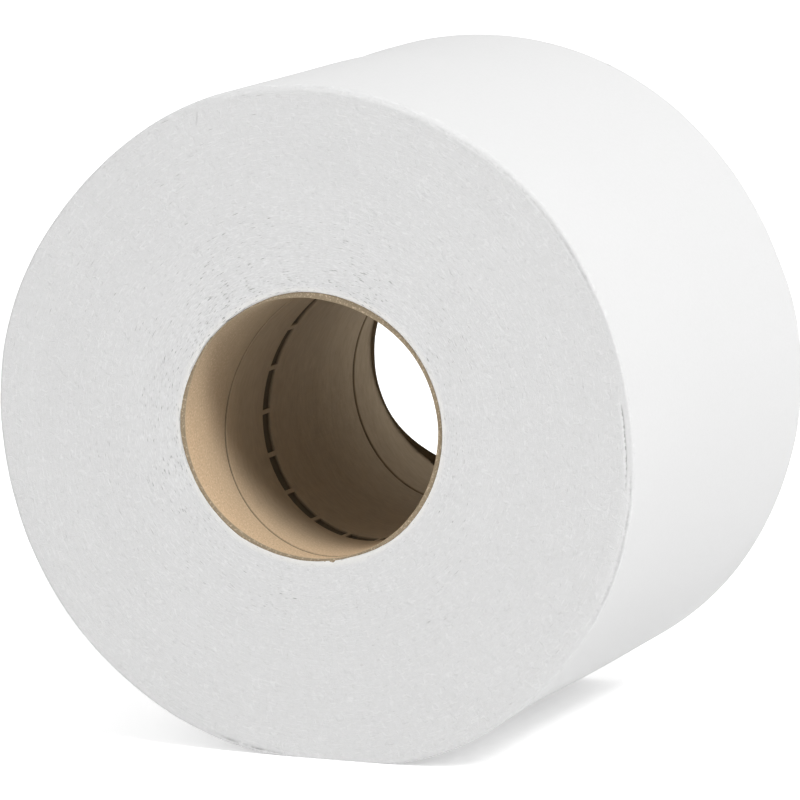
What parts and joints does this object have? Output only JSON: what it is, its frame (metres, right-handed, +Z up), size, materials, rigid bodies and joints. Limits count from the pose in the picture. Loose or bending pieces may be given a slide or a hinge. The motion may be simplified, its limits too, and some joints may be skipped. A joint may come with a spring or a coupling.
{
  "type": "toilet paper roll",
  "caption": "Wound tissue roll on a spiral-wound paperboard core, lying on its side, its underside pressed slightly flat and its outer turns sagging beside it; a holder's spindle passes through the core.",
  "frame": {"origin": "on the ground under the middle of the roll, below its axis", "axes": "+Z up, +Y along the roll's axis from the near end to the far end, +X to the right seen from the near end"},
  "size_m": [0.1428, 0.106, 0.1418],
  "materials": {
    "tissue": "soft matte white tissue",
    "core_board": "matte brown paperboard"
  },
  "bodies": {
    "root": {"tissue_roll": "tissue", "core_tube": "core_board"}
  },
  "joints": []
}
